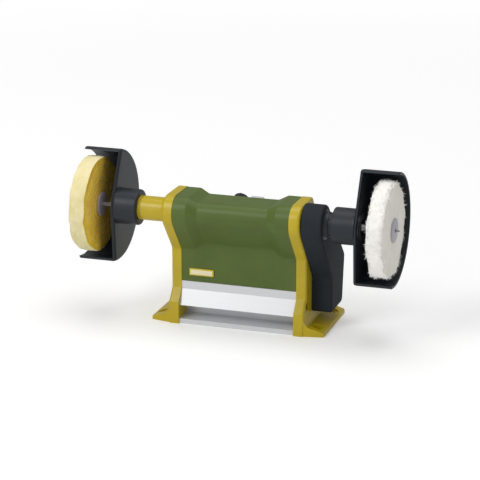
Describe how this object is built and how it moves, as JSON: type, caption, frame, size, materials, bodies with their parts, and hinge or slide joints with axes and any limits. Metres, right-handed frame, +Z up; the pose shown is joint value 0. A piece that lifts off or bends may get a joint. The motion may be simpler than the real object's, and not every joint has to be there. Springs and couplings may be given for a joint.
{
  "type": "bench polishing lathe",
  "caption": "Small bench polishing lathe: belt driven double-ended spindle with a buff at each end, swivelling half-round guards, a waisted housing and a screw-down base.",
  "frame": {"origin": "on the bench, in the middle of the base footprint", "axes": "+X along the spindle towards the belt cover, +Y to the back, +Z up"},
  "size_m": [0.346, 0.135, 0.1817],
  "materials": {
    "mustard_paint": "fine textured powder coat",
    "green_housing": "satin moulded plastic",
    "slate_plastic": "satin moulded plastic",
    "aluminium_profile": "satin anodised",
    "bright_steel": "ground",
    "dark_steel": "blackened",
    "black_rubber": "matte",
    "muslin_cloth": "treated woven cloth, sewn in rings",
    "cotton_cloth": "loose brushed cotton",
    "washer_fibre": "pressed grey fibre",
    "copper": "turned",
    "bronze_bush": "sintered",
    "carbon": "pressed",
    "magnet": "sintered",
    "board_laminate": "solder mask",
    "grey_plastic": "smooth moulded plastic",
    "iron_core": "stacked sheet iron"
  },
  "bodies": {
    "machine": {"base_profile": "aluminium_profile", "left_end_frame": "mustard_paint", "right_end_frame": "mustard_paint", "housing_shell": "green_housing", "belt_cover": "slate_plastic", "right_neck": "slate_plastic", "left_bearing_outer_ring": "bright_steel", "right_bearing_outer_ring": "bright_steel", "drive_belt": "black_rubber", "left_guard_friction_ring": "black_rubber", "right_guard_friction_ring": "black_rubber", "left_guard_circlip": "dark_steel", "right_guard_circlip": "dark_steel", "motor_can": "dark_steel", "motor_drive_plate": "bright_steel", "motor_brush_plate": "carbon", "motor_magnets": "magnet", "motor_bushes": "bronze_bush", "motor_brushes": "carbon", "motor_screws": "dark_steel", "cover_screws": "dark_steel", "left_frame_screws": "dark_steel", "right_frame_screws": "dark_steel", "control_board": "board_laminate", "board_screws": "bright_steel", "potentiometer": "bright_steel", "switch_body": "grey_plastic", "cord_inlet_bush": "black_rubber"},
    "spindle": {"spindle_shaft": "bright_steel", "left_spindle_nose": "bright_steel", "right_spindle_nose": "bright_steel", "spindle_pulley": "bright_steel", "spindle_circlips": "dark_steel", "left_bearing_inner_ring": "bright_steel", "right_bearing_inner_ring": "bright_steel", "left_muslin_buff": "muslin_cloth", "right_cotton_buff": "cotton_cloth", "left_buff_washers": "washer_fibre", "right_buff_washers": "washer_fibre"},
    "motor_rotor": {"motor_shaft": "bright_steel", "motor_armature": "iron_core", "motor_commutator": "copper", "motor_fan": "carbon", "motor_pulley": "bright_steel"},
    "left_guard": {"left_guard": "slate_plastic"},
    "right_guard": {"right_guard": "slate_plastic"},
    "speed_knob": {"speed_knob": "slate_plastic", "potentiometer_shaft": "bright_steel"},
    "switch_rocker": {"switch_rocker": "grey_plastic"}
  },
  "joints": [
    {"name": "spindle_spin", "type": "hinge", "parent": "machine", "child": "spindle", "pos_m": [0, -0.0405, 0.123], "axis": [1, 0, 0], "continuous": true},
    {"name": "motor_spin", "type": "hinge", "parent": "machine", "child": "motor_rotor", "pos_m": [0, 0.0095, 0.048], "axis": [1, 0, 0], "continuous": true},
    {"name": "left_guard_swivel", "type": "hinge", "parent": "machine", "child": "left_guard", "pos_m": [-0.117, -0.0405, 0.123], "axis": [1, 0, 0], "range_deg": [-45, 90]},
    {"name": "right_guard_swivel", "type": "hinge", "parent": "machine", "child": "right_guard", "pos_m": [0.117, -0.0405, 0.123], "axis": [1, 0, 0], "range_deg": [-45, 90]},
    {"name": "speed_knob_turn", "type": "hinge", "parent": "machine", "child": "speed_knob", "pos_m": [-0.008, -0.00563, 0.12542], "axis": [0, 0.8269, 0.5623], "range_deg": [-135, 135]},
    {"name": "switch_rock", "type": "hinge", "parent": "machine", "child": "switch_rocker", "pos_m": [0.0133, -0.00598, 0.127], "axis": [1, 0, 0], "range_deg": [0, 16]}
  ],
  "couplings": [
    {"joint": "motor_spin", "follows": "spindle_spin", "ratio": 2}
  ]
}
